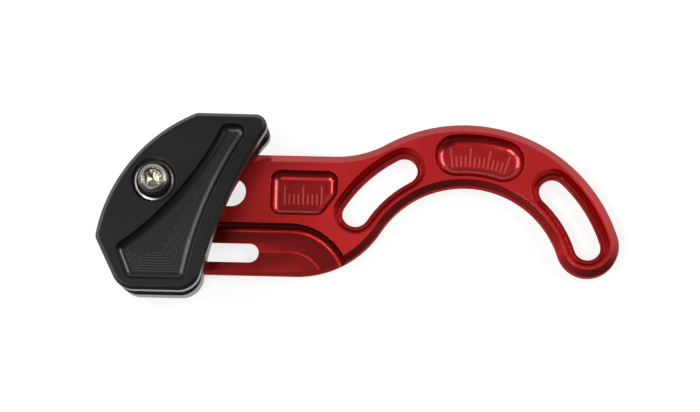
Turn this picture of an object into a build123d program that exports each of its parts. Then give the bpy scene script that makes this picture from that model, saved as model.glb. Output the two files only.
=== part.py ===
"""Bicycle chain guide: a slotted backplate that carries an adjustable two-plate chain cage.

Millimetres, +Z up. The origin is the bottom-bracket axis on the backplate's rear face. +X points
from the cage towards the mounting arm and +Z from the frame towards the chainring.
"""
import os
from math import atan2, cos, degrees, hypot, pi, radians, sin, sqrt

from build123d import *

# Backplate: mounting arm around the bottom bracket
BOLT_CIRCLE = 56.0            # diameter through the frame's mounting bolts
MOUNT_BOLT = 5.0              # mounting bolt thread
MOUNT_CLEARANCE = 0.8         # slot width over the bolt, for uneven frame tabs
BOLT_SEAT = 9.5               # width of the recess that takes a mounting bolt's head
SLOT_MIDS = (33.0, 133.0)     # angles of the slot middles, as the frame's bolts are spaced
SLOT_HALF_SPAN = 14.6         # degrees from a slot's middle to its end centre
ARM_WIDTH = 13.4

# Backplate: section
PLATE_T = 5.0
RIM_BEVEL = (1.5, 1.0)        # chamfer along the front edge: width and depth
REAR_BEVEL = (0.4, 0.4)
SEAT_DEPTH = 2.3              # bolt recesses, from the front face
POCKET_DEPTH = 2.5            # lightening pockets, from the front face
CUTTER_R = 2.0                # corner radius the cutter leaves along a floor
ARM_CUTTER_R = 2.4            # the same, in the arm's pocket
SEAT_SLOPE = (1.1, 2.1)       # width and height of the slope around a bolt recess

# Backplate: tail that the cage slides on
TAIL_TOP = 27.2
TAIL_BOTTOM = 1.15
NECK_R = 22.0                 # hollow curve from the tail's top edge to the arm
TOE_R = 21.6                  # round curve from the tail's bottom edge to the arm
TAIL_SHOULDER = -58.0         # where the tail starts to narrow to its end
SHELF_RIM = 12.3              # height of the step's straight wall
SHELF_Z = 2.6                 # level of the step's floor
SHELF_END = -37.7             # where the step's wall starts to curve down
SHELF_R = 13.7
SHELF_BEVEL = (0.8, 0.8)

# Backplate: lightening pockets
POCKET_W = 9.2                # curved pocket on the arm
POCKET_ENDS = (73.2, 94.4)    # angles of its end centres
WINDOW_LEFT, WINDOW_RIGHT = -42.1, -27.5      # flat pocket on the tail
WINDOW_BOTTOM, WINDOW_TOP = 14.1, 23.9
WINDOW_CUT = (3.5, 4.8)       # its slanted lower right corner
WINDOW_R = 2.2

# Cage adjustment: one tooth of chainring size moves the chain by one pitch / 2 pi
CHAIN_PITCH = 12.7
RING_STEPS = 8                # teeth between the smallest and the largest ring
SPARE_TRAVEL = 1.9            # left beyond the position shown
GUIDE_Y, GUIDE_END = 18.95, -50.6     # upper slot: centre line and inner end centre
GUIDE_W = 6.4
CLAMP_Y, CLAMP_END = 5.95, -46.5      # lower slot
CLAMP_W = 4.2
SLOT_FIT = 0.15               # each side of what slides in a slot
END_WALL = 2.4                # plate left around the upper slot's outer end
BOSS_L = 8.0                  # boss of the nut in the upper slot, along the slot
NUT_LIP, NUT_T = 1.25, 1.7    # flange of that nut behind the plate: overlap and thickness
REAR_SINK = 2.0               # rear recess for the flange
SCREW_SINK = 1.4              # rear recess for the lower screw's head
REAR_SIDE_GAP = 0.2           # beside a flange or a head in its recess

# Cage plates
SLIDE_GAP = 0.2               # between the backplate and what slides on it
INNER_T = 4.0
CHAIN_GAP = 6.4
OUTER_T = 4.1
CAGE_BEVEL = (0.75, 0.75)     # chamfer along the plates' front edges
CAGE_REAR_BEVEL = (0.35, 0.35)
CROWN_L = (-57.2, 33.6)       # corners of the outline before rounding
OUTER_CROWN, INNER_CROWN = (-40.4, 33.5), (-38.8, 33.5)
FOOT_R, FOOT_L = (-56.3, -4.3), (-72.4, -4.3)
HEEL = (-77.9, 6.7)
OUTER_RING_R, INNER_RING_R = 106.0, 53.0      # hollow edges beside the chainring
BACK_R = 34.5                 # round edge away from it
CORNER_R = {CROWN_L: 2.0, OUTER_CROWN: 2.4, INNER_CROWN: 2.6, FOOT_R: 4.7, FOOT_L: 4.8, HEEL: 2.6}

# Decorative pocket in the outer plate
DECO_DEPTH = 1.8
DECO_CUTTER_R = 1.75
DECO_TOP_L, DECO_TOP_R = (-51.6, 31.4), (-45.2, 31.4)
DECO_FOOT_R, DECO_FOOT_L = (-58.6, -2.1), (-71.0, -2.1)
DECO_HEEL = (-73.8, 4.7)
DECO_RING_R, DECO_BACK_R = 82.0, 68.0
DECO_CORNER_R = 1.9

# Cage bolt, spacer and dowels
BOLT_D = 5.0
BOLT_L = 18.0
HEAD_D, HEAD_H = 8.8, 4.0
HEAD_RIM = 0.5                # short straight side under the dome
DOME_RISE = 0.66              # share of the dome's height at its middle radius
HEAD_SINK = 1.2               # counterbore depth
HEAD_SIDE_GAP = 0.35
SOCKET_D, SOCKET_DEPTH = 3.6, 1.7     # drive socket
SOCKET_LAND = 0.5             # flat ring around the socket
HOLE_FIT = 0.1                # radial, around a shank in a hole
SPACER_W, SPACER_SPAN = 7.4, 15.0             # width, and length between end centres
DOWEL_D, DOWEL_SINK = 3.0, 2.0
DOWEL_FIT = 0.02

# Lower clamp screw
SCREW_D, SCREW_HEAD_D, SCREW_HEAD_T = 4.0, 7.0, 1.0
SCREW_L = 6.0
HEX_AF, HEX_DEPTH = 2.5, 0.7

# Levels and places that follow from the sizes above
TRAVEL = RING_STEPS * CHAIN_PITCH / (2 * pi)
BOSS_W = GUIDE_W - 2 * SLOT_FIT
BOSS_REACH = (BOSS_L - BOSS_W) / 2
GUIDE_START = GUIDE_END - TRAVEL - 2 * BOSS_REACH
CLAMP_START = CLAMP_END - TRAVEL
BOLT_X = GUIDE_START + BOSS_REACH + SPARE_TRAVEL
SCREW_X = CLAMP_START + SPARE_TRAVEL
SLOT_R = BOLT_CIRCLE / 2
ARM_IN, ARM_OUT = SLOT_R - ARM_WIDTH / 2, SLOT_R + ARM_WIDTH / 2
INNER_Z = PLATE_T + SLIDE_GAP
CHAIN_Z = INNER_Z + INNER_T
OUTER_Z = CHAIN_Z + CHAIN_GAP
TOP_Z = OUTER_Z + OUTER_T
HEAD_Z = TOP_Z - HEAD_SINK
KEY_Z = SHELF_Z + SLIDE_GAP
NUT_Z = REAR_SINK - SLIDE_GAP - NUT_T
SCREW_Z = SCREW_SINK - SLIDE_GAP - SCREW_HEAD_T


def polar(radius, angle, centre=(0, 0)):
    """The point at an angle (degrees) and radius about a centre."""
    return centre[0] + radius * cos(radians(angle)), centre[1] + radius * sin(radians(angle))


def arc(radius, start, end, centre=(0, 0)):
    """The arc about a centre from one angle to another."""
    return ThreePointArc(*(polar(radius, a, centre) for a in (start, (start + end) / 2, end)))


def bearing(point):
    """The angle of a point seen from the origin, 0 to 360 degrees."""
    return degrees(atan2(point[1], point[0])) % 360


def rounded(face, radii):
    """Round the corners of a face, given as {corner: radius}."""
    for corner, radius in radii.items():
        face = fillet(face.vertices().sort_by_distance((*corner, 0))[0], radius)
    return face


def prism(face, bottom, top):
    """A face drawn at z = 0, raised between two levels."""
    return extrude(Pos(0, 0, bottom) * face, top - bottom)


def pocket(face, floor, corner, top):
    """The space that a round-cornered cutter clears down to a floor."""
    tool = prism(face, floor, top + 1)
    return fillet(tool.faces().sort_by(Axis.Z)[0].edges(), corner)


def seat(face, floor, slope, top):
    """The space above a floor with sloping sides, given as (width, height)."""
    tool = prism(face, floor, top + 1)
    base = tool.faces().sort_by(Axis.Z)[0]
    return chamfer(base.edges(), *slope, reference=base)


def bevelled(face, bottom, top, front=None, rear=None):
    """A plate with chamfers, given as (width, depth), along its front and its rear edge."""
    solid = prism(face, bottom, top)
    for side, bevel in ((-1, front), (0, rear)):
        if bevel:
            rim = solid.faces().sort_by(Axis.Z)[side]
            solid = chamfer(rim.edges(), *bevel, reference=rim)
    return solid


def straight_slot(start, end, y, width):
    """A round-ended slot along X, given by its end centres."""
    return Pos((start + end) / 2, y) * SlotCenterToCenter(end - start, width)


def backplate_outline():
    """Hook-shaped arm and tail, all tangent curves, with a narrowed round end under the cage."""
    toe_y, neck_y = TAIL_BOTTOM + TOE_R, TAIL_TOP + NECK_R
    toe = (-sqrt((ARM_IN + TOE_R) ** 2 - toe_y ** 2), toe_y)
    neck = (-sqrt((ARM_OUT + NECK_R) ** 2 - neck_y ** 2), neck_y)
    tip = SLOT_MIDS[0] - SLOT_HALF_SPAN
    tail_low, tail_high = (TAIL_SHOULDER, TAIL_BOTTOM), (TAIL_SHOULDER, TAIL_TOP)
    hook = make_face([
        Line(tail_low, (toe[0], TAIL_BOTTOM)),
        arc(TOE_R, 270, bearing(toe) + 180, toe),
        arc(ARM_IN, bearing(toe), tip),
        arc(ARM_WIDTH / 2, tip + 180, tip + 360, polar(SLOT_R, tip)),
        arc(ARM_OUT, tip, bearing(neck)),
        arc(NECK_R, bearing(neck) + 180, 270, neck),
        Line((neck[0], TAIL_TOP), tail_high),
        Line(tail_high, tail_low),
    ])
    guide_end = Pos(GUIDE_START, GUIDE_Y) * Circle(GUIDE_W / 2 + END_WALL)
    clamp_end = Pos(CLAMP_START, CLAMP_Y) * Circle(CLAMP_Y - TAIL_BOTTOM)
    end = make_hull(guide_end.edges() + clamp_end.edges() + [Line(tail_low, tail_high).edge()])
    return hook + end


def shelf_outline():
    """The stepped-down part of the tail: below a straight wall that curves away at its end."""
    left, low, right = 2 * TAIL_SHOULDER, -TAIL_TOP, SHELF_END + SHELF_R
    bend = (SHELF_END, SHELF_RIM - SHELF_R)
    return make_face([
        Line((left, SHELF_RIM), (SHELF_END, SHELF_RIM)),
        arc(SHELF_R, 90, 0, bend),
        Line((right, bend[1]), (right, low)),
        Line((right, low), (left, low)),
        Line((left, low), (left, SHELF_RIM)),
    ])


def backplate():
    outline, shelf = backplate_outline(), shelf_outline()
    plate = bevelled(outline, 0, PLATE_T, RIM_BEVEL, REAR_BEVEL)
    plate -= pocket(shelf, SHELF_Z, CUTTER_R, PLATE_T)

    # chamfer along the step's own outer edge
    thin = bevelled(outline, 0, SHELF_Z, SHELF_BEVEL)
    corner = prism(outline, SHELF_Z - SHELF_BEVEL[1], SHELF_Z) - thin
    plate -= corner & prism(shelf, 0, SHELF_Z)

    # curved mounting slots with a sunk seat for the bolt heads
    for middle in SLOT_MIDS:
        line = arc(SLOT_R, middle - SLOT_HALF_SPAN, middle + SLOT_HALF_SPAN)
        plate -= seat(SlotArc(line, BOLT_SEAT), PLATE_T - SEAT_DEPTH, SEAT_SLOPE, PLATE_T)
        plate -= prism(SlotArc(line, MOUNT_BOLT + MOUNT_CLEARANCE), -1, PLATE_T)

    # lightening pockets, one along the arm and one on the tail
    floor = PLATE_T - POCKET_DEPTH
    plate -= pocket(SlotArc(arc(SLOT_R, *POCKET_ENDS), POCKET_W), floor, ARM_CUTTER_R, PLATE_T)
    cut_x, cut_y = WINDOW_RIGHT - WINDOW_CUT[0], WINDOW_BOTTOM + WINDOW_CUT[1]
    corners = [(WINDOW_LEFT, WINDOW_BOTTOM), (cut_x, WINDOW_BOTTOM), (WINDOW_RIGHT, cut_y),
               (WINDOW_RIGHT, WINDOW_TOP), (WINDOW_LEFT, WINDOW_TOP)]
    window = rounded(make_face(Polyline(*corners, close=True)), {c: WINDOW_R for c in corners})
    plate -= pocket(window, floor, CUTTER_R, PLATE_T)

    # adjustment slots, sunk at the rear for the nut and the screw head
    plate -= prism(straight_slot(GUIDE_START, GUIDE_END, GUIDE_Y, GUIDE_W), -1, PLATE_T + 1)
    plate -= prism(straight_slot(CLAMP_START, CLAMP_END, CLAMP_Y, CLAMP_W), -1, PLATE_T + 1)
    nut_way = straight_slot(GUIDE_START, GUIDE_END, GUIDE_Y, BOSS_W + 2 * (NUT_LIP + REAR_SIDE_GAP))
    head_way = straight_slot(CLAMP_START, CLAMP_END, CLAMP_Y, SCREW_HEAD_D + 2 * REAR_SIDE_GAP)
    return plate - prism(nut_way, -1, REAR_SINK) - prism(head_way, -1, SCREW_SINK)


def cage_outline(crown, ring_r):
    """Outline of a cage plate, given its corner and its hollow edge beside the chainring."""
    face = make_face([
        Line(CROWN_L, crown),
        RadiusArc(crown, FOOT_R, -ring_r),
        Line(FOOT_R, FOOT_L),
        Line(FOOT_L, HEEL),
        RadiusArc(HEEL, CROWN_L, BACK_R),
    ])
    return rounded(face, {c: CORNER_R[c] for c in (CROWN_L, crown, FOOT_R, FOOT_L, HEEL)})


def deco_outline():
    """Outline of the decorative pocket: a blade that widens towards the cage's foot."""
    corners = (DECO_TOP_L, DECO_TOP_R, DECO_FOOT_R, DECO_FOOT_L, DECO_HEEL)
    face = make_face([
        Line(DECO_TOP_L, DECO_TOP_R),
        RadiusArc(DECO_TOP_R, DECO_FOOT_R, -DECO_RING_R),
        Line(DECO_FOOT_R, DECO_FOOT_L),
        Line(DECO_FOOT_L, DECO_HEEL),
        RadiusArc(DECO_HEEL, DECO_TOP_L, -DECO_BACK_R),
    ])
    return rounded(face, {c: DECO_CORNER_R for c in corners})


def spacer_line():
    """Centre line of the spacer: through the bolt, along the cage's round back."""
    back = RadiusArc(HEEL, CROWN_L, BACK_R)
    centre = (back.arc_center.X, back.arc_center.Y)
    to_bolt = (BOLT_X - centre[0], GUIDE_Y - centre[1])
    radius, angle = hypot(*to_bolt), bearing(to_bolt)
    half = degrees(SPACER_SPAN / 2 / radius)
    return arc(radius, angle - half, angle + half, centre)


def dowel_places():
    line = spacer_line()
    return [line @ 0, line @ 1]


def at_each(points, shape):
    """Copies of a shape at several places in plan."""
    return [Pos(p.X, p.Y, 0) * shape for p in points]


def dowel_holes(bottom, top):
    return at_each(dowel_places(), prism(Circle(DOWEL_D / 2 + DOWEL_FIT), bottom, top))


def bolt_hole(bottom, top):
    return Pos(BOLT_X, GUIDE_Y) * prism(Circle(BOLT_D / 2 + HOLE_FIT), bottom, top)


def inner_guide_plate():
    outline = cage_outline(INNER_CROWN, INNER_RING_R)
    plate = bevelled(outline, INNER_Z, CHAIN_Z, CAGE_BEVEL)

    # key below the step's wall, rounded like its corner and clear of its curved end at full travel
    inward = TRAVEL - SPARE_TRAVEL
    below = pocket(Pos(-inward - SLIDE_GAP, -SLIDE_GAP) * shelf_outline(), KEY_Z, CUTTER_R, PLATE_T)
    plate += prism(outline, KEY_Z, INNER_Z) & below
    plate -= bolt_hole(INNER_Z - 1, CHAIN_Z + 1)
    for hole in dowel_holes(CHAIN_Z - DOWEL_SINK, CHAIN_Z + 1):
        plate -= hole
    tapped = prism(Circle(SCREW_D / 2), KEY_Z - 1, SCREW_Z + SCREW_HEAD_T + SCREW_L + SLIDE_GAP)
    return plate - Pos(SCREW_X, CLAMP_Y) * tapped


def outer_guide_plate():
    outline = cage_outline(OUTER_CROWN, OUTER_RING_R)
    plate = bevelled(outline, OUTER_Z, TOP_Z, CAGE_BEVEL, CAGE_REAR_BEVEL)
    plate -= pocket(deco_outline(), TOP_Z - DECO_DEPTH, DECO_CUTTER_R, TOP_Z)
    plate -= Pos(BOLT_X, GUIDE_Y) * prism(Circle(HEAD_D / 2 + HEAD_SIDE_GAP), HEAD_Z, TOP_Z + 1)
    plate -= bolt_hole(OUTER_Z - 1, TOP_Z)
    for hole in dowel_holes(OUTER_Z - 1, OUTER_Z + DOWEL_SINK):
        plate -= hole
    return plate


def cage_spacer():
    spacer = prism(SlotArc(spacer_line(), SPACER_W), CHAIN_Z, OUTER_Z) - bolt_hole(CHAIN_Z - 1, OUTER_Z + 1)
    for hole in dowel_holes(CHAIN_Z - 1, OUTER_Z + 1):
        spacer -= hole
    return spacer


def dowels():
    pin = prism(Circle(DOWEL_D / 2), CHAIN_Z - DOWEL_SINK, OUTER_Z + DOWEL_SINK)
    return Compound(at_each(dowel_places(), pin))


def cage_bolt():
    """Button-head bolt with a drive socket."""
    radius, top = HEAD_D / 2, SOCKET_D / 2 + SOCKET_LAND
    crown = ((radius + top) / 2, HEAD_RIM + DOME_RISE * (HEAD_H - HEAD_RIM))
    side = [(0, 0), (radius, 0), (radius, HEAD_RIM), crown, (top, HEAD_H), (0, HEAD_H)]
    dome = make_face(Polyline(*side, close=True))
    bolt = revolve(Plane.XZ * dome, Axis.Z) + prism(Circle(BOLT_D / 2), -BOLT_L, 0)
    socket = prism(Circle(SOCKET_D / 2), HEAD_H - SOCKET_DEPTH, HEAD_H + 1)
    return Pos(BOLT_X, GUIDE_Y, HEAD_Z) * (bolt - socket)


def slot_nut():
    """Flanged nut behind the upper slot, with a boss that keeps it square in the slot."""
    flange = prism(SlotOverall(BOSS_L + 2 * NUT_LIP, BOSS_W + 2 * NUT_LIP), NUT_Z, NUT_Z + NUT_T)
    boss = prism(SlotOverall(BOSS_L, BOSS_W), NUT_Z, INNER_Z)
    return Pos(BOLT_X, GUIDE_Y) * (flange + boss) - bolt_hole(NUT_Z - 1, INNER_Z + 1)


def clamp_screw():
    """Thin-headed screw from the rear through the lower slot into the inner plate."""
    head = prism(Circle(SCREW_HEAD_D / 2), SCREW_Z, SCREW_Z + SCREW_HEAD_T)
    head = chamfer(head.edges().sort_by(Axis.Z)[0], SCREW_HEAD_T / 4)
    tip = SCREW_Z + SCREW_HEAD_T + SCREW_L
    shank = prism(Circle(SCREW_D / 2 - HOLE_FIT / 2), SCREW_Z, tip)
    socket = prism(RegularPolygon(HEX_AF / 2, 6, major_radius=False), SCREW_Z - 1, SCREW_Z + HEX_DEPTH)
    return Pos(SCREW_X, CLAMP_Y) * (head + shank - socket)


PARTS = {
    "backplate": backplate,
    "inner_guide_plate": inner_guide_plate,
    "outer_guide_plate": outer_guide_plate,
    "cage_spacer": cage_spacer,
    "spacer_dowels": dowels,
    "cage_bolt": cage_bolt,
    "slot_nut": slot_nut,
    "clamp_screw": clamp_screw,
}

os.makedirs("parts", exist_ok=True)
for node, make in PARTS.items():
    export_step(make(), f"parts/{node}.step")
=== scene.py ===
"""Chain guide: anodised finishes, cutter marks, scale lines, the cage bolt, studio light and camera."""
from math import cos, hypot, pi, radians, sin, sqrt, tan

import bmesh
import bpy
from mathutils import Matrix, Vector


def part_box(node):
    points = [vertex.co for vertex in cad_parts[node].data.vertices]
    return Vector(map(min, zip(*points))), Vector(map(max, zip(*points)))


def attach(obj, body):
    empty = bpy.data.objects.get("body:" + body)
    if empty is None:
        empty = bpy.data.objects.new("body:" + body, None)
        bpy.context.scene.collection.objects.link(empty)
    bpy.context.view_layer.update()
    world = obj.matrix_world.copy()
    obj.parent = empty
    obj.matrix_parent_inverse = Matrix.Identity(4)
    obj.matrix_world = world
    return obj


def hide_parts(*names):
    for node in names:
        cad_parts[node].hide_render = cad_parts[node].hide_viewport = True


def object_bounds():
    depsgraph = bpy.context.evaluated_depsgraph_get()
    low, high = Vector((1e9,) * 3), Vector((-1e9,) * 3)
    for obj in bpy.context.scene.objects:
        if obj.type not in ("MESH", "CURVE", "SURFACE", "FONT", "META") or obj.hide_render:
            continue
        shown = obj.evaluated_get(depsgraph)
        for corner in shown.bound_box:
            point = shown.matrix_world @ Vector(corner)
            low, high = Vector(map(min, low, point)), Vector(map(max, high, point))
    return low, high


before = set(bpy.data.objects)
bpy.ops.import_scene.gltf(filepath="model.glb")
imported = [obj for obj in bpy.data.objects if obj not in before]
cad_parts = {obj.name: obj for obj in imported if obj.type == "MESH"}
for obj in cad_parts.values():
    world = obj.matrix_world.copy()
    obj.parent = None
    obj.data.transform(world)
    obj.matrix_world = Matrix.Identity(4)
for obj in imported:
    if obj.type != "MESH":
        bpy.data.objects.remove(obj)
cad_low, cad_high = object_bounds()
MM = 0.001

# Camera that matches the photograph
CAMERA_AT = (-5.15, -62.04, 564.0)            # millimetres from the bottom-bracket axis
CAMERA_TURN = (8.026, 1.799, 1.518)           # degrees
LENS, SENSOR = 134.6, 36.0                    # millimetres

# Lamps: place in metres, width and height, and how many times brighter than white
LAMPS = {
    "east_light": ((0.42, 0.18, 0.44), (0.42, 0.20), 4.6),
    "west_light": ((-0.45, 0.08, 0.41), (0.36, 0.32), 3.2),
    "south_light": ((-0.31, -0.30, 0.74), (0.28, 0.30), 6.0),
}
LAMP_AIM = (-0.02, 0.015, 0)                  # the point that all of them face

# Studio walls: level, what is added to the north and to the east, and the least level
WALL_LEVEL, WALL_NORTH, WALL_EAST, WALL_LEAST = 0.24, 0.52, 0.10, 0.08
CEILING, CEILING_LEVEL = (0.30, 0.75), 0.30   # between these heights on the sky it darkens to that share
TABLE_WHITE, TABLE_GLOW = 0.42, 0.78          # what the table scatters, and what it adds as a backdrop
TABLE_ROUGH = 0.9
TABLE_REACH, TABLE_GAP = 4.0, 0.02            # metres to each side, millimetres below the part

# Colours, linear
# The palest red stands for wear and for a painted highlight on edges; the scale lines take it too.
RED_DEEP, RED_CLEAR, RED_PALE_WEAR_AND_SHEEN = (0.74, 0.025, 0.025), (0.86, 0.034, 0.034), (0.90, 0.14, 0.13)
RED_PAINTED_SHADE = (0.11, 0.003, 0.003)              # painted shade on leaning and steep walls, the shelf's sweeps and the step's foot
RED_TINT = (0.62, 0.10, 0.10, 1)              # what the red metal reflects at a grazing angle
# The palest black stands for wear and a painted highlight on edges, and for painted sheen on the decorative
# pocket's ridges.
BLACK_DEEP, BLACK_CLEAR, BLACK_PALE_WEAR_AND_SHEEN = (0.003, 0.003, 0.003), (0.007, 0.007, 0.006), (0.04, 0.04, 0.038)
STEEL_DEEP, STEEL_CLEAR, STEEL_WORN = (0.38, 0.37, 0.35), (0.50, 0.49, 0.46), (0.70, 0.69, 0.67)
SOCKET_WARM = (0.66, 0.58, 0.43)                    # warmer, paler steel inside the drive socket
ACETAL_DEEP, ACETAL_CLEAR = (0.008, 0.008, 0.009), (0.018, 0.018, 0.018)

# Machining on the backplate, millimetres
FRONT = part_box("backplate")[1].z / MM
POCKET_DEPTH, SHELF_Z = 2.5, 2.6
SHELF_RIM, SHELF_END, SHELF_R = 12.3, -37.7, 13.7  # y of the step's wall, x where it curves down, radius
SHELF_PASS = 6.0                              # width of the first cutter pass beside the step's wall
ARM_POCKET_R, ARM_POCKET_W = 28.0, 9.2        # middle radius and width
ARM_FROM = (-24.0, -22.0)                     # x where the tail's machining gives way to the arm's
WINDOW = (-42.1, -27.5, 14.1, 23.9)           # tail pocket: left, right, bottom, top
WINDOW_CUT = (3.5, 4.8)                       # its cut corner, along X and along Y
STEP_OVER = 0.62                              # distance between neighbouring cutter passes

# Shelf, millimetres: where the sweeps of the cutter show, from the step's wall or along X; the sweeps get
# painted shade
PASS_EDGE = (SHELF_PASS - 0.35, SHELF_PASS + 0.35)
FIRST_SWEEP, FIRST_SWEEP_END = (4.6, 2.4), (SHELF_END - 2, SHELF_END + 7)
SECOND_SWEEP = (SHELF_PASS + 4.8, SHELF_PASS + 1.2)
STREAK, STREAK_SOFT = (SHELF_PASS - 1.5, SHELF_PASS + 0.1), 0.5
STREAK_END = (SHELF_END, SHELF_END - 8)
FOOT_TOP = (SHELF_Z + 1.6, SHELF_Z + 1.2)     # height that the step's rounded foot reaches
FOOT_REACH, FOOT_SOFT = (-0.5, 2.0), 0.3

# Scale lines in both pockets, millimetres and degrees: first line, pitch and count
MARK_W, MARK_H = 0.40, 0.12                   # width, and height above the floor
MARK_SHORT, MARK_LONG, LONG_EVERY = 2.3, 4.2, 4
TAIL_MARKS, TAIL_MARK_FOOT = (-39.1, 1.0, 9), 16.7     # foot: y of the lower ends
ARM_MARKS, ARM_MARK_FOOT = (71.2, 2.1, 13), 25.8       # foot: radius of the inner ends

# Decorative pocket of the outer plate, millimetres
DECO = {"top_l": (-51.6, 31.4), "top_r": (-45.2, 31.4), "foot_r": (-58.6, -2.1),
        "foot_l": (-71.0, -2.1), "heel": (-73.8, 4.7)}
DECO_RING_R, DECO_BACK_R = 82.0, 68.0         # radii of its two curved walls
DECO_DEPTH, DECO_STEP = 1.8, 0.56             # depth, and distance between neighbouring cutter passes
DECO_SUNK, DECO_RIM = (0.7, 1.0), (-1.0, -0.4)     # depth, and distance from the wall, that count as inside
DECO_HEEL = (1.6, 1.0)                        # distance from the heel's wall that counts as the heel

# All finishes: slopes in degrees at which a face starts to count as such and at which it does in full
LEANING, STEEP, STEP_FOOT, UPRIGHT = (14, 32), (38, 66), (10, 16), (66, 80)
FACING_UP, LEVEL_REACH = (0.9, 0.99), 0.03    # height of a floor's normal, and play in its level
EDGE_TURN, EDGE_SAMPLES = (0.985, 0.90), 6    # rounded normal times the face's own, off an edge and on it
CLOUD_BAND, GRAIN_BAND = (0.35, 0.65), (0.30, 0.70)    # noise values between which a pattern changes over
PLAIN_DETAIL, CLOUD_DETAIL = 2.0, 3.0
RIDGE_POWER = 2.0                             # makes round grooves between narrow ridges

# Red finish: pattern sizes and relief in millimetres, then shares, then roughness
RED_EDGE, RED_CLOUD, RED_GRAIN = 0.12, 14, 0.16
RED_DRAG, RED_DRAG_STRETCH = 0.5, (40, 0.5, 1)     # drawn out along X
RED_GRAIN_DEPTH, RED_DRAG_DEPTH, ROW_DEPTH, PASS_DEPTH = 0.0006, 0.0008, 0.009, 0.06
TRACK_SHARE = 0.4                             # passes on the shelf against those in the pockets
RED_WEAR_AND_SHEEN = 0.30                               # how far edges pale, with wear and a painted highlight
SWEPT_SHADE, LEANING_SHADE, FOOT_SHADE = 0.36, 0.35, 0.85  # how far painted shade darkens these
STEEP_SHADE = (0.8, 0.65)                     # how far painted shade darkens steep walls, on the tail and on the arm
RED_COAT, FOOT_COAT = (0.6, 1.0), 0.8         # coat on flat and leaning faces, and what the foot loses
RED_COAT_ROUGH, RED_COAT_IOR = 0.08, 1.75
RED_ROUGH = (0.34, 0.39)
FRONT_ROUGH, SHELF_ROUGH, ARM_ROUGH = 0.16, -0.04, 0.10    # added on the front, the shelf, the arm pocket
SECOND_ROUGH, STREAK_ROUGH = 0.05, 0.18       # added on the shelf's second pass and on its streak

# Finish of the scale lines: edge in millimetres, shares and roughness
LINE_EDGE, LINE_PALE, LINE_WEAR, LINE_ROUGH = 0.06, (0.75, 1.0), 0.3, (0.50, 0.56)

# Black finish: pattern sizes and relief in millimetres, then shares and roughness
BLACK_IOR, BLACK_EDGE, BLACK_CLOUD, BLACK_GRAIN = 1.7, 0.18, 11, 0.15
BLACK_DRAG, BLACK_DRAG_STRETCH = 0.4, (0.6, 45, 1)     # drawn out along Y
BLACK_GRAIN_DEPTH, BLACK_DRAG_DEPTH, DECO_ROW_DEPTH = 0.0022, 0.0012, 0.028
# how far edges pale with wear and a painted highlight, and how far the pocket's ridges pale with painted
# sheen
BLACK_WEAR_AND_SHEEN, DECO_ROW_SHEEN = 0.6, 0.3
BLACK_ROUGH = (0.30, 0.36)
CHAMFER_ROUGH, SIDE_ROUGH = -0.14, 0.12       # added on chamfers and on upright sides

# Steel finish, and the warmer, paler colour in the drive socket: millimetres from its axis and below its
# rim
STEEL_EDGE, STEEL_CLOUD, STEEL_GRAIN, STEEL_WEAR = 0.10, 2.5, 0.1, 0.6
RINGS, RING_DEPTH, STEEL_ROUGH = 0.12, 0.003, (0.24, 0.31)
WARM_REACH, WARM_FROM, WARM_SHARE = (1.95, 1.75), (0.1, 0.3), 0.85

# Acetal finish: pattern sizes and relief in millimetres, then roughness
ACETAL_IOR, ACETAL_EDGE, ACETAL_CLOUD = 1.48, 0.18, 6
FEED, FEED_STRETCH, FEED_DEPTH = 0.3, (8, 8, 0.5), 0.006
ACETAL_ROUGH, ACETAL_POLISH = (0.44, 0.56), -0.1   # worn edges are smoother

# Cage bolt, millimetres: radii and heights above the head's seat
HEAD_SINK = 1.2                               # seat below the outer plate's face
BOLT_SHANK, BOLT_FLANGE, BOLT_DOME = 2.5, 4.4, 3.80
FLANGE_TOP, WALL_TOP = 0.50, 0.62             # the flange's top, the dome's foot
FLANGE_SLOPE = 19.0                           # degrees
FLANGE_RIM = (0.14, 36.0)                     # width and slope of the rim around the flange
FLANGE_BREAK, DOME_BREAK = 0.05, 0.02         # broken corner under the flange, and at the dome's foot
DOME_KNEE = (3.0, 3.5)                        # radius and height where the dome turns flatter
DOME_SIDE, DOME_TOP = (80.0, 64.0), (38.0, 30.0)   # slopes in degrees, from the outside in
SOCKET_LIP, SOCKET_WELL = 2.31, 1.86          # chamfer around the socket, from radius to radius
LIP_ROUND = ((0.10, -0.10), (0.05, -0.055), (-0.01, -0.02), (-0.08, 0.0))  # from the lip and the head's top
LIP_DEPTH = 0.28                              # depth of that chamfer
SOCKET_LOBES = (1.58, 0.22)                   # middle radius and depth of the six lobes
LOBE_FLARE, FLARE_DEPTH, LOBE_FROM = 0.03, 0.06, 0.1   # wider mouth of the lobes, depths below the chamfer
SOCKET_DEPTH, SOCKET_POINT = 1.20, 0.58       # straight walls, then a six-sided point
POINT_FLAT, POINT_STEP = 1.2, 0.05            # from the axis to a side of that point, and its first step
THREAD_PITCH, THREAD_DEPTH, THREAD_L = 0.8, 0.42, 10.0
THREAD_CREST, THREAD_ROOT = (0.35, 0.5), 0.9  # shares of the pitch
TIP_W, TIP_L, THREAD_OUT = 0.6, 0.3, 0.4      # chamfer at the tip, and the run-out above the thread
TURN_STEPS, BULGE_STEPS = 96, 10
SHARP_FROM = 15                               # degrees between faces that meet in a sharp edge


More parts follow.
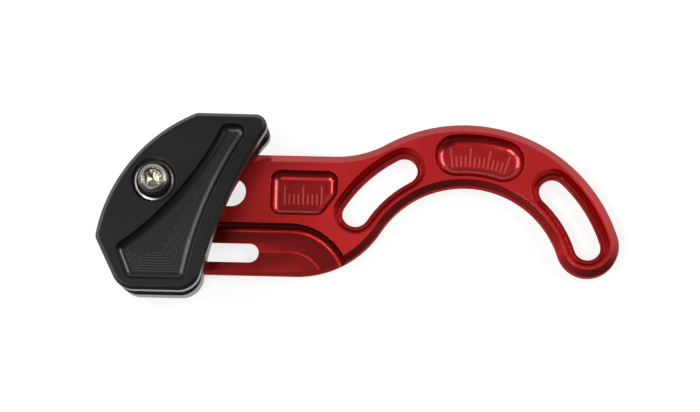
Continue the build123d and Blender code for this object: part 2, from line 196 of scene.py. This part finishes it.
class Finish:
    """One material and the nodes that drive it; places are in millimetres in the part's frame."""

    def __init__(self, name, **constants):
        self.material = bpy.data.materials.new(name)
        self.material.use_nodes = True
        self.tree = self.material.node_tree
        self.shader = self.tree.nodes["Principled BSDF"]
        for socket, value in constants.items():
            self.shader.inputs[socket.replace("_", " ")].default_value = value
        self.point = self.vector("SCALE", self.node("ShaderNodeTexCoord").outputs["Object"])
        self.point.node.inputs["Scale"].default_value = 1 / MM
        self.x, self.y, self.z = self.split(self.point)
        self.geometry = self.node("ShaderNodeNewGeometry")

    def node(self, kind, **settings):
        made = self.tree.nodes.new(kind)
        for key, value in settings.items():
            setattr(made, key, value)
        return made

    def feed(self, socket, value):
        """Link a socket to another, or set it to a constant."""
        if isinstance(value, bpy.types.NodeSocket):
            self.tree.links.new(value, socket)
        else:
            socket.default_value = value

    def split(self, vector):
        made = self.node("ShaderNodeSeparateXYZ")
        self.tree.links.new(vector, made.inputs[0])
        return made.outputs

    def math(self, operation, *values):
        made = self.node("ShaderNodeMath", operation=operation)
        for socket, value in zip(made.inputs, values):
            self.feed(socket, value)
        return made.outputs[0]

    def vector(self, operation, *values):
        made = self.node("ShaderNodeVectorMath", operation=operation)
        for socket, value in zip(made.inputs, values):
            self.feed(socket, value)
        return made.outputs["Value" if operation in ("DOT_PRODUCT", "DISTANCE") else "Vector"]

    def ramp(self, value, low, high, to_low=0.0, to_high=1.0):
        """Soft change from one value to another while the first argument goes from low to high."""
        made = self.node("ShaderNodeMapRange", interpolation_type="SMOOTHSTEP")
        for socket, given in zip(made.inputs, (value, low, high, to_low, to_high)):
            self.feed(socket, given)
        return made.outputs[0]

    def mix(self, share, first, second):
        """Colour that goes from the first to the second."""
        made = self.node("ShaderNodeMix", data_type="RGBA")
        self.feed(made.inputs[0], share)
        for socket, value in ((made.inputs[6], first), (made.inputs[7], second)):
            self.feed(socket, value if isinstance(value, bpy.types.NodeSocket) else (*value, 1))
        return made.outputs[2]

    def noise(self, size, stretch=(1, 1, 1), detail=PLAIN_DETAIL, place=None):
        """Soft random pattern whose spots are about that many millimetres wide."""
        made = self.node("ShaderNodeTexNoise")
        made.inputs["Scale"].default_value = 1.0
        made.inputs["Detail"].default_value = detail
        spread = tuple(1 / (size * s) for s in stretch)
        self.feed(made.inputs["Vector"], self.vector("MULTIPLY", place or self.point, spread))
        return made.outputs["Fac"]

    def clouds(self, size, first, second):
        """Colour that drifts between two."""
        return self.mix(self.ramp(self.noise(size, detail=CLOUD_DETAIL), *CLOUD_BAND), first, second)

    def chain(self, operation, first, *others):
        for other in others:
            first = self.math(operation, first, other)
        return first

    def product(self, *values):
        return self.chain("MULTIPLY", *values)

    def least(self, *values):
        return self.chain("MINIMUM", *values)

    def most(self, *values):
        return self.chain("MAXIMUM", *values)

    def total(self, *values):
        return self.chain("ADD", *values)

    def other(self, share):
        """What is left of 1."""
        return self.math("SUBTRACT", 1.0, share)

    def between(self, value, low, high, soft):
        """1 between two values, with soft ends."""
        return self.product(self.ramp(value, low - soft, low + soft),
                            self.ramp(value, high + soft, high - soft))

    def at_level(self, z):
        """1 on the flat floor at that height."""
        up = self.split(self.geometry.outputs["True Normal"])[2]
        return self.product(self.math("COMPARE", self.z, z, LEVEL_REACH), self.ramp(up, *FACING_UP))

    def slope(self, start, end):
        """0 on faces sloped less than one angle, 1 on those sloped more than another, in degrees."""
        up = self.split(self.geometry.outputs["Normal"])[2]
        return self.ramp(up, cos(radians(start)), cos(radians(end)))

    def from_point(self, centre):
        """Distance in plan from a point."""
        return self.vector("DISTANCE", self.vector("MULTIPLY", self.point, (1, 1, 0)), (*centre, 0))

    def from_line(self, start, end):
        """Distance to the left of a line through two points."""
        along = (end[0] - start[0], end[1] - start[1])
        left = (-along[1] / hypot(*along), along[0] / hypot(*along))
        reach = self.vector("DOT_PRODUCT", self.point, (*left, 0))
        return self.math("SUBTRACT", reach, left[0] * start[0] + left[1] * start[1])

    def from_arc(self, start, end, radius):
        """Distance outside an arc whose centre is to the right of start to end."""
        along = (end[0] - start[0], end[1] - start[1])
        length = hypot(*along)
        rise = sqrt(radius ** 2 - length ** 2 / 4)
        centre = ((start[0] + end[0]) / 2 + along[1] / length * rise,
                  (start[1] + end[1]) / 2 - along[0] / length * rise)
        return self.math("SUBTRACT", self.from_point(centre), radius)

    def passes(self, distance, step):
        """Ridges between cutter passes that run parallel to a wall: 0 in the groove, 1 on the ridge."""
        wave = self.math("PINGPONG", distance, step / 2)
        return self.math("POWER", self.math("DIVIDE", wave, step / 2), RIDGE_POWER)

    def edge(self, radius):
        """The normal rounded along sharp edges, and how near an edge is (0 to 1)."""
        bevel = self.node("ShaderNodeBevel", samples=EDGE_SAMPLES)
        bevel.inputs["Radius"].default_value = radius * MM
        facing = self.vector("DOT_PRODUCT", bevel.outputs[0], self.geometry.outputs["Normal"])
        return bevel.outputs[0], self.ramp(facing, *EDGE_TURN)

    def bump(self, height, depth, normal):
        """Relief whose height runs from 0 to 1 over a depth in millimetres."""
        made = self.node("ShaderNodeBump")
        made.inputs["Strength"].default_value = 1.0
        made.inputs["Distance"].default_value = depth * MM
        self.feed(made.inputs["Height"], height)
        self.feed(made.inputs["Normal"], normal)
        return made.outputs[0]

    def finish(self, colour, roughness, normal, coat=None):
        """Link what was made to the shader."""
        self.feed(self.shader.inputs["Base Color"], colour)
        self.feed(self.shader.inputs["Roughness"], roughness)
        self.feed(self.shader.inputs["Normal"], normal)
        if coat:
            self.feed(self.shader.inputs["Coat Weight"], coat)
            self.feed(self.shader.inputs["Coat Normal"], normal)
        return self.material


def window_wall(f):
    """Distance inside the tail pocket from its nearest wall."""
    left, right, bottom, top = WINDOW
    cut = ((right - WINDOW_CUT[0], bottom), (right, bottom + WINDOW_CUT[1]))
    return f.least(f.math("SUBTRACT", f.x, left), f.math("SUBTRACT", right, f.x),
                   f.math("SUBTRACT", f.y, bottom), f.math("SUBTRACT", top, f.y), f.from_line(*cut))


def arm_wall(f):
    """Distance inside the arm pocket from its nearest long wall."""
    off = f.math("SUBTRACT", f.from_point((0, 0)), ARM_POCKET_R)
    return f.math("SUBTRACT", ARM_POCKET_W / 2, f.math("ABSOLUTE", off))


def shelf_wall(f):
    """Distance below the step's wall, which is straight and then curves down."""
    past = f.math("MAXIMUM", f.math("SUBTRACT", f.x, SHELF_END), 0.0)
    below = f.math("SUBTRACT", f.y, SHELF_RIM - SHELF_R)
    reach = f.math("SQRT", f.total(f.product(past, past), f.product(below, below)))
    return f.math("SUBTRACT", SHELF_R, reach)


def red_finish():
    """Red anodised aluminium with the marks of the cutter on its floors, walls and shelf, painted shade on
    its sloped walls, the shelf's sweeps and the step's foot, and edges paled with wear and a painted
    highlight.
    """
    f = Finish("red_anodised_finish", Metallic=1.0, Specular_Tint=RED_TINT,
               Coat_Roughness=RED_COAT_ROUGH, Coat_IOR=RED_COAT_IOR)
    rounded, near_edge = f.edge(RED_EDGE)
    leaning, steep = f.slope(*LEANING), f.slope(*STEEP)
    grain, drag = f.noise(RED_GRAIN), f.noise(RED_DRAG, RED_DRAG_STRETCH)

    # floors: cutter passes parallel to the walls
    front, floor, shelf = f.at_level(FRONT), f.at_level(FRONT - POCKET_DEPTH), f.at_level(SHELF_Z)
    on_arm = f.ramp(f.x, *ARM_FROM)
    wall = f.total(f.product(on_arm, arm_wall(f)), f.product(f.other(on_arm), window_wall(f)))
    rows = f.product(f.passes(wall, STEP_OVER), floor)
    below = shelf_wall(f)
    second = f.product(f.ramp(below, *PASS_EDGE), shelf)
    tracks = f.product(f.passes(below, STEP_OVER), shelf)

    # painted shade: sweeps of both passes on the shelf, leaning and steep walls, the foot of the step
    # painted shade of the first pass's sweep, near the step's wall and towards its curve
    first = f.most(f.ramp(below, *FIRST_SWEEP), f.ramp(f.x, *FIRST_SWEEP_END))
    first = f.product(first, f.math("SUBTRACT", shelf, second))
    again = f.product(f.ramp(below, *SECOND_SWEEP), second)
    foot = f.product(f.slope(*STEP_FOOT), f.ramp(f.z, *FOOT_TOP), f.between(below, *FOOT_REACH, FOOT_SOFT))
    painted_shade = f.most(f.product(f.most(first, again), SWEPT_SHADE), f.product(leaning, LEANING_SHADE),
                  f.product(steep, f.ramp(on_arm, 0.0, 1.0, *STEEP_SHADE)), f.product(foot, FOOT_SHADE))
    # the cloudy red goes to painted shade where that mask says
    colour = f.mix(painted_shade, f.clouds(RED_CLOUD, RED_DEEP, RED_CLEAR), RED_PAINTED_SHADE)
    # edges pale: wear, and a painted highlight along them
    colour = f.mix(f.product(near_edge, RED_WEAR_AND_SHEEN), colour, RED_PALE_WEAR_AND_SHEEN)

    streak = f.product(f.between(below, *STREAK, STREAK_SOFT), f.ramp(f.x, *STREAK_END), shelf)
    rough = f.total(f.ramp(grain, *GRAIN_BAND, *RED_ROUGH), f.product(front, FRONT_ROUGH),
                    f.product(shelf, SHELF_ROUGH), f.product(floor, on_arm, ARM_ROUGH),
                    f.product(second, SECOND_ROUGH), f.product(streak, STREAK_ROUGH))

    normal = f.bump(grain, RED_GRAIN_DEPTH, rounded)
    normal = f.bump(drag, RED_DRAG_DEPTH, normal)
    normal = f.bump(f.total(rows, f.product(tracks, TRACK_SHARE)), ROW_DEPTH, normal)
    normal = f.bump(f.other(second), PASS_DEPTH, normal)
    bare = f.most(steep, f.product(foot, FOOT_COAT))
    coat = f.math("SUBTRACT", f.ramp(leaning, 0.0, 1.0, *RED_COAT), bare)
    return f.finish(colour, rough, normal, coat)


def scale_finish():
    """Paler red of the scale lines."""
    f = Finish("scale_line_finish", Metallic=1.0, Specular_Tint=RED_TINT)
    rounded, near_edge = f.edge(LINE_EDGE)
    grain = f.noise(RED_GRAIN)
    colour = f.mix(f.ramp(grain, *CLOUD_BAND, *LINE_PALE), RED_CLEAR, RED_PALE_WEAR_AND_SHEEN)
    colour = f.mix(f.product(near_edge, LINE_WEAR), colour, RED_PALE_WEAR_AND_SHEEN)
    rough = f.ramp(grain, *GRAIN_BAND, *LINE_ROUGH)
    return f.finish(colour, rough, f.bump(grain, RED_GRAIN_DEPTH, rounded))


def deco_wall(f):
    """Distance inside the decorative pocket from its nearest wall."""
    return f.least(f.math("SUBTRACT", DECO["top_l"][1], f.y), f.math("SUBTRACT", f.y, DECO["foot_l"][1]),
                   f.from_line(DECO["heel"], DECO["foot_l"]),
                   f.from_arc(DECO["foot_r"], DECO["top_r"], DECO_RING_R),
                   f.from_arc(DECO["top_l"], DECO["heel"], DECO_BACK_R))


def black_finish(name, deco=False):
    """Black anodised aluminium, smoother on chamfers, its edges paled with wear and a painted highlight;
    deco adds the rows in the decorative pocket, with painted sheen on their ridges.
    """
    f = Finish(name, IOR=BLACK_IOR)
    rounded, near_edge = f.edge(BLACK_EDGE)
    grain, drag = f.noise(BLACK_GRAIN), f.noise(BLACK_DRAG, BLACK_DRAG_STRETCH)
    colour = f.clouds(BLACK_CLOUD, BLACK_DEEP, BLACK_CLEAR)
    # edges pale: wear, and a painted highlight along them
    colour = f.mix(f.product(near_edge, BLACK_WEAR_AND_SHEEN), colour, BLACK_PALE_WEAR_AND_SHEEN)
    gloss = f.slope(*LEANING)
    normal = f.bump(grain, BLACK_GRAIN_DEPTH, rounded)
    normal = f.bump(drag, BLACK_DRAG_DEPTH, normal)
    if deco:
        # of the pocket's walls, only the one at the heel is smooth
        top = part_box("outer_guide_plate")[1].z / MM
        wall = deco_wall(f)
        sunk = f.product(f.ramp(f.z, *(top - depth for depth in DECO_SUNK)), f.ramp(wall, *DECO_RIM))
        heel = f.ramp(f.from_line(DECO["heel"], DECO["foot_l"]), *DECO_HEEL)
        gloss = f.product(gloss, f.other(f.product(sunk, f.other(heel))))
        rows = f.product(f.passes(wall, DECO_STEP), f.at_level(top - DECO_DEPTH))
        # painted sheen: the ridges between cutter passes pale
        colour = f.mix(f.product(rows, DECO_ROW_SHEEN), colour, BLACK_PALE_WEAR_AND_SHEEN)
        normal = f.bump(rows, DECO_ROW_DEPTH, normal)
    rough = f.total(f.ramp(grain, *GRAIN_BAND, *BLACK_ROUGH), f.product(gloss, CHAMFER_ROUGH),
                    f.product(f.slope(*UPRIGHT), SIDE_ROUGH))
    return f.finish(colour, rough, normal)


def steel_finish(name, axis, socket=None):
    """Turned stainless steel, with fine rings about an upright axis and a warmer, paler colour below a
    socket's rim.
    """
    f = Finish(name, Metallic=1.0)
    rounded, near_edge = f.edge(STEEL_EDGE)
    away = f.from_point(axis)
    profile = f.node("ShaderNodeCombineXYZ")
    f.feed(profile.inputs[0], away)
    f.feed(profile.inputs[2], f.z)
    rings = f.noise(RINGS, place=profile.outputs[0])
    colour = f.clouds(STEEL_CLOUD, STEEL_DEEP, STEEL_CLEAR)
    colour = f.mix(f.product(near_edge, STEEL_WEAR), colour, STEEL_WORN)
    if socket:
        inside = f.product(f.ramp(away, *WARM_REACH), f.ramp(f.z, *(socket - depth for depth in WARM_FROM)))
        colour = f.mix(f.product(inside, WARM_SHARE), colour, SOCKET_WARM)
    rough = f.ramp(f.noise(STEEL_GRAIN), *GRAIN_BAND, *STEEL_ROUGH)
    return f.finish(colour, rough, f.bump(rings, RING_DEPTH, rounded))


def acetal_finish():
    """Black plastic with the feed marks of a mill, one above the other."""
    f = Finish("black_acetal_finish", IOR=ACETAL_IOR)
    rounded, near_edge = f.edge(ACETAL_EDGE)
    feed = f.noise(FEED, FEED_STRETCH)
    colour = f.clouds(ACETAL_CLOUD, ACETAL_DEEP, ACETAL_CLEAR)
    rough = f.total(f.ramp(feed, *GRAIN_BAND, *ACETAL_ROUGH), f.product(near_edge, ACETAL_POLISH))
    return f.finish(colour, rough, f.bump(feed, FEED_DEPTH, rounded))


def wear(node, material):
    """Give a CAD node its finish."""
    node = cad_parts[node]
    for place in range(len(node.data.materials)):
        node.data.materials[place] = material


def middle(node):
    """Middle of a CAD node in plan, millimetres."""
    low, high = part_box(node)
    return (low.x + high.x) / 2 / MM, (low.y + high.y) / 2 / MM


def show(name, mesh):
    """New object in the scene."""
    obj = bpy.data.objects.new(name, mesh)
    bpy.context.scene.collection.objects.link(obj)
    return obj


def as_mesh(name, built):
    """Mesh made from what was built, which is then freed."""
    mesh = bpy.data.meshes.new(name)
    built.to_mesh(mesh)
    built.free()
    return mesh


def lobed(radius, depth):
    """Round outline with six lobes."""
    return lambda turn: radius + depth * cos(6 * turn)


def hexagon(flat):
    """Six-sided outline, given from the axis to a side."""
    return lambda turn: flat / cos((turn + pi / 6) % (pi / 3) - pi / 6)


def turned(name, rows):
    """Closed mesh about an upright axis; a row is (radius or outline, height), or a height for a point."""
    built = bmesh.new()
    rings = []
    for row in rows:
        if isinstance(row, float):
            rings.append([built.verts.new((0, 0, row * MM))])
            continue
        outline, z = row
        ring = []
        for step in range(TURN_STEPS):
            turn = 2 * pi * step / TURN_STEPS
            radius = outline(turn) if callable(outline) else outline
            ring.append(built.verts.new(Vector((radius * cos(turn), radius * sin(turn), z)) * MM))
        rings.append(ring)
    for low, high in zip(rings, rings[1:]):
        for step in range(TURN_STEPS):
            after = (step + 1) % TURN_STEPS
            corners = [low[step % len(low)], low[after % len(low)],
                       high[after % len(high)], high[step % len(high)]]
            built.faces.new(list(dict.fromkeys(corners)))
    return as_mesh(name, built)


def bulge(start, end, slopes):
    """Rows of a rounded side between two (radius, height) points, with its slopes at both in degrees."""
    first, last = (radians(slope) for slope in slopes)
    rows = []
    for step in range(BULGE_STEPS + 1):
        slope = first + (last - first) * step / BULGE_STEPS
        inward = (sin(first) - sin(slope)) / (sin(first) - sin(last))
        rise = (cos(slope) - cos(first)) / (cos(last) - cos(first))
        rows.append((start[0] + (end[0] - start[0]) * inward, start[1] + (end[1] - start[1]) * rise))
    return rows


def thread_rows(length):
    """Chamfered tip, thread and shank of the cage bolt, up to the head's seat."""
    root, start = BOLT_SHANK - THREAD_DEPTH, -length + TIP_L
    rows = [-length, (BOLT_SHANK - TIP_W, -length), (root, start)]
    for turn in range(int(THREAD_L / THREAD_PITCH)):
        foot = start + turn * THREAD_PITCH
        rows += [(BOLT_SHANK, foot + share * THREAD_PITCH) for share in THREAD_CREST]
        rows += [(root, foot + THREAD_ROOT * THREAD_PITCH), (root, foot + THREAD_PITCH)]
    return rows + [(BOLT_SHANK, rows[-1][1] + THREAD_OUT), (BOLT_SHANK, 0.0)]


def head_rows(head):
    """Flange, dome and drive socket of the cage bolt."""
    rim_w, rim_slope = FLANGE_RIM
    foot = FLANGE_TOP - (BOLT_FLANGE - rim_w - BOLT_DOME) * tan(radians(FLANGE_SLOPE))
    rows = [(BOLT_FLANGE - FLANGE_BREAK, 0.0), (BOLT_FLANGE, FLANGE_BREAK),
            (BOLT_FLANGE, foot - rim_w * tan(radians(rim_slope))), (BOLT_FLANGE - rim_w, foot),
            (BOLT_DOME + DOME_BREAK, FLANGE_TOP), (BOLT_DOME, FLANGE_TOP + DOME_BREAK)]
    lip = [(SOCKET_LIP + out, head + up) for out, up in LIP_ROUND]
    rows += bulge((BOLT_DOME, WALL_TOP), DOME_KNEE, DOME_SIDE)
    rows += bulge(DOME_KNEE, lip[0], DOME_TOP)[1:] + lip[1:]
    rim, floor = head - LIP_DEPTH, head - SOCKET_DEPTH
    radius, depth = SOCKET_LOBES
    return rows + [(SOCKET_WELL, rim), (lobed(radius + LOBE_FLARE, depth), rim - FLARE_DEPTH),
                   (lobed(radius, depth), rim - LOBE_FROM), (lobed(radius, depth), floor),
                   (hexagon(POINT_FLAT), floor - POINT_STEP), floor - SOCKET_POINT]


def cage_bolt():
    """Button-head bolt with a flange, a six-lobe socket and a thread at its end."""
    low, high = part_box("cage_bolt")
    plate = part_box("outer_guide_plate")[1].z
    seat = plate - HEAD_SINK * MM
    head = (high.z - seat) / MM
    mesh = turned("cage_bolt_turned", thread_rows((seat - low.z) / MM) + head_rows(head))
    mesh.materials.append(steel_finish("stainless_bolt", (0, 0), head))
    mesh.shade_smooth()
    mesh.set_sharp_from_angle(angle=radians(SHARP_FROM))
    bolt = show("cage_bolt_turned", mesh)
    bolt.location = ((low.x + high.x) / 2, (low.y + high.y) / 2, seat)
    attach(bolt, "cage")
    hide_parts("cage_bolt")


def scale_lines():
    """Raised scale lines on the floors of both pockets, sunk as deep as they are high."""
    floor = FRONT - POCKET_DEPTH
    lines = []
    first, pitch, count = TAIL_MARKS
    for index in range(count):
        lines.append((index, Vector((first + index * pitch, TAIL_MARK_FOOT, floor)), radians(90)))
    first, pitch, count = ARM_MARKS
    for index in range(count):
        turn = radians(first + index * pitch)
        lines.append((index, Vector((ARM_MARK_FOOT * cos(turn), ARM_MARK_FOOT * sin(turn), floor)), turn))
    built = bmesh.new()
    for index, foot, turn in lines:
        length = MARK_SHORT if index % LONG_EVERY else MARK_LONG
        place = Matrix.Translation(foot) @ Matrix.Rotation(turn, 4, "Z")
        place @= Matrix.Translation((length / 2, 0, 0))
        size = Matrix.Diagonal((length, MARK_W, 2 * MARK_H, 1))
        bmesh.ops.create_cube(built, size=1.0, matrix=Matrix.Scale(MM, 4) @ place @ size)
    mesh = as_mesh("scale_lines", built)
    mesh.materials.append(scale_finish())
    obj = show("scale_lines", mesh)
    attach(obj, "backplate")


wear("backplate", red_finish())
scale_lines()
wear("outer_guide_plate", black_finish("black_anodised_outer", deco=True))
wear("inner_guide_plate", black_finish("black_anodised_inner"))
wear("cage_spacer", acetal_finish())
for fastener in ("slot_nut", "clamp_screw", "spacer_dowels"):
    wear(fastener, steel_finish("stainless_" + fastener, middle(fastener)))
cage_bolt()


def softbox(name, at, size, level):
    """Rectangular lamp that faces the object, as bright as that many times white."""
    lamp = bpy.data.lights.new(name, "AREA")
    lamp.shape, lamp.size, lamp.size_y = "RECTANGLE", *size
    lamp.energy = level * pi * size[0] * size[1]
    holder = show(name, lamp)
    holder.location = at
    holder.rotation_euler = (Vector(LAMP_AIM) - Vector(at)).to_track_quat("-Z", "Y").to_euler()


def node_math(tree, operation, first, second):
    """Math node in a tree; a float is a constant, and anything else is a socket to link."""
    made = tree.nodes.new("ShaderNodeMath")
    made.operation = operation
    for socket, value in zip(made.inputs, (first, second)):
        if isinstance(value, float):
            socket.default_value = value
        else:
            tree.links.new(value, socket)
    return made.outputs[0]


def room():
    """Studio walls: dark overhead and to the south, paler to the north and a little to the east."""
    world = bpy.data.worlds.new("studio")
    bpy.context.scene.world = world
    world.use_nodes = True
    tree = world.node_tree
    back = tree.nodes["Background"]
    split = tree.nodes.new("ShaderNodeSeparateXYZ")
    tree.links.new(tree.nodes.new("ShaderNodeTexCoord").outputs["Generated"], split.inputs[0])
    east, north, up = split.outputs
    level = node_math(tree, "ADD", node_math(tree, "MULTIPLY", north, WALL_NORTH),
                      node_math(tree, "MULTIPLY", east, WALL_EAST))
    level = node_math(tree, "MAXIMUM", node_math(tree, "ADD", level, WALL_LEVEL), WALL_LEAST)
    overhead = tree.nodes.new("ShaderNodeMapRange")
    overhead.interpolation_type = "SMOOTHSTEP"
    for socket, value in zip(list(overhead.inputs)[1:], (*CEILING, 1.0, CEILING_LEVEL)):
        socket.default_value = value
    tree.links.new(up, overhead.inputs[0])
    tree.links.new(node_math(tree, "MULTIPLY", level, overhead.outputs[0]), back.inputs["Color"])
    back.inputs["Strength"].default_value = 1.0


def table():
    """White table that keeps the shadow; a camera or mirror ray sees it as paper white."""
    mesh = bpy.data.meshes.new("table")
    side = TABLE_REACH
    corners = [(-side, -side, 0), (side, -side, 0), (side, side, 0), (-side, side, 0)]
    mesh.from_pydata(corners, [], [(0, 1, 2, 3)])
    obj = show("table", mesh)
    obj.location.z = cad_low.z - TABLE_GAP * MM
    material = bpy.data.materials.new("white_table")
    material.use_nodes = True
    tree = material.node_tree
    shader = tree.nodes["Principled BSDF"]
    shader.inputs["Base Color"].default_value = (TABLE_WHITE, TABLE_WHITE, TABLE_WHITE, 1)
    shader.inputs["Roughness"].default_value = TABLE_ROUGH
    shader.inputs["Specular IOR Level"].default_value = 0.0
    shader.inputs["Emission Color"].default_value = (1, 1, 1, 1)
    rays = tree.nodes.new("ShaderNodeLightPath").outputs
    seen = node_math(tree, "MAXIMUM", rays["Is Camera Ray"], rays["Is Glossy Ray"])
    seen = node_math(tree, "MAXIMUM", seen, rays["Is Transmission Ray"])
    tree.links.new(node_math(tree, "MULTIPLY", seen, TABLE_GLOW), shader.inputs["Emission Strength"])
    mesh.materials.append(material)


for name, lamp in LAMPS.items():
    softbox(name, *lamp)
room()
table()

eye = bpy.data.cameras.new("photo_camera")
eye.lens, eye.sensor_width = LENS, SENSOR
camera = show("photo_camera", eye)
camera.location = Vector(CAMERA_AT) * MM
camera.rotation_euler = [radians(turn) for turn in CAMERA_TURN]
bpy.context.scene.camera = camera
bpy.context.scene.view_settings.view_transform = "Standard"
